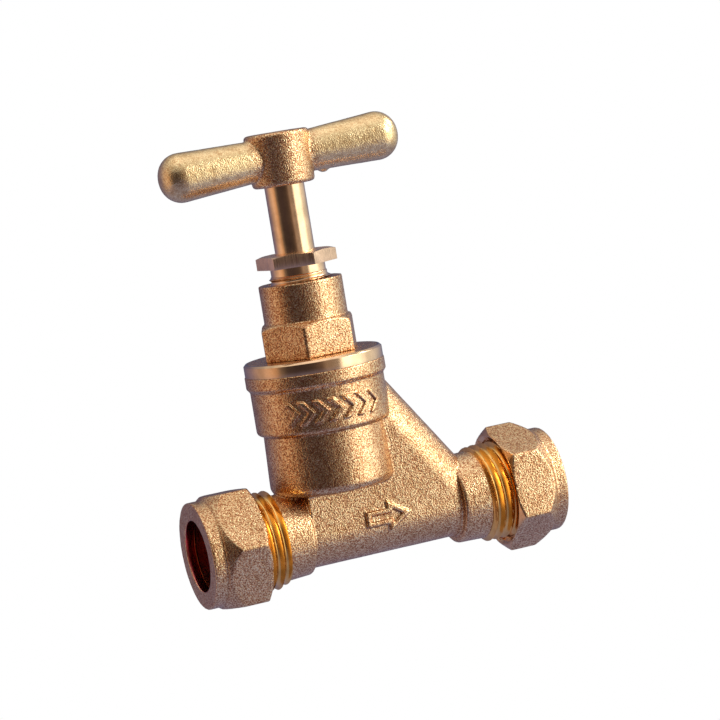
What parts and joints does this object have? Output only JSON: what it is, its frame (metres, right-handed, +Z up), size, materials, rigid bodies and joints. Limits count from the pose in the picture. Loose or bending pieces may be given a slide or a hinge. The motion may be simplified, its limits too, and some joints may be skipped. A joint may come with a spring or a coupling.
{
  "type": "screw-down stop valve",
  "caption": "Brass screw-down stop valve for 15 mm copper pipe, with a crutch handle on a rising spindle, a packed gland and a compression nut at each end.",
  "frame": {"origin": "centre of the inlet pipe mouth, on the pipe axis", "axes": "+X along the pipe axis towards the outlet, +Z up along the spindle, +Y towards the back of the valve"},
  "size_m": [0.0805, 0.0297, 0.0982],
  "materials": {
    "cast_brass": "shot-blasted casting",
    "machined_brass": "turned and polished",
    "red_fibre": "vulcanised fibre",
    "black_rubber": "moulded",
    "white_packing": "PTFE ring"
  },
  "bodies": {
    "root": {"body": "cast_brass", "bonnet": "cast_brass", "bonnet_washer": "red_fibre", "packing_ring_lower": "white_packing", "packing_ring_middle": "white_packing", "packing_ring_upper": "white_packing"},
    "jumper": {"jumper": "machined_brass", "jumper_washer": "black_rubber", "jumper_nut": "machined_brass"},
    "spindle": {"spindle": "machined_brass", "handle": "cast_brass"},
    "gland_washer": {"gland_washer": "machined_brass"},
    "gland_nut": {"gland_nut": "machined_brass"},
    "inlet_olive": {"inlet_olive": "machined_brass"},
    "inlet_nut": {"inlet_nut": "cast_brass"},
    "outlet_olive": {"outlet_olive": "machined_brass"},
    "outlet_nut": {"outlet_nut": "cast_brass"}
  },
  "joints": [
    {"name": "spindle_lift", "type": "slide", "parent": "root", "child": "jumper", "axis": [0, 0, 1], "range_m": [-0.00699, 0]},
    {"name": "spindle_turn", "type": "hinge", "parent": "jumper", "child": "spindle", "pos_m": [0.0321, 0, 0], "axis": [0, 0, 1], "range_deg": [-1260, 0]},
    {"name": "gland_nut_lift", "type": "slide", "parent": "root", "child": "gland_washer", "axis": [0, 0, 1], "range_m": [0, 0.00401]},
    {"name": "gland_nut_turn", "type": "hinge", "parent": "gland_washer", "child": "gland_nut", "pos_m": [0.0321, 0, 0], "axis": [0, 0, 1], "range_deg": [0, 1080]},
    {"name": "inlet_nut_travel", "type": "slide", "parent": "root", "child": "inlet_olive", "axis": [-1, 0, 0], "range_m": [0, 0.00544]},
    {"name": "inlet_nut_turn", "type": "hinge", "parent": "inlet_olive", "child": "inlet_nut", "pos_m": [0, 0, 0], "axis": [-1, 0, 0], "range_deg": [0, 1080]},
    {"name": "outlet_nut_travel", "type": "slide", "parent": "root", "child": "outlet_olive", "axis": [1, 0, 0], "range_m": [0, 0.00544]},
    {"name": "outlet_nut_turn", "type": "hinge", "parent": "outlet_olive", "child": "outlet_nut", "pos_m": [0.0805, 0, 0], "axis": [1, 0, 0], "range_deg": [0, 1080]}
  ],
  "couplings": [
    {"joint": "spindle_turn", "follows": "spindle_lift", "rad_per_m": 3141.6},
    {"joint": "gland_nut_turn", "follows": "gland_nut_lift", "rad_per_m": 4699.5},
    {"joint": "inlet_nut_turn", "follows": "inlet_nut_travel", "rad_per_m": 3463.7},
    {"joint": "outlet_nut_turn", "follows": "outlet_nut_travel", "rad_per_m": 3463.7}
  ]
}
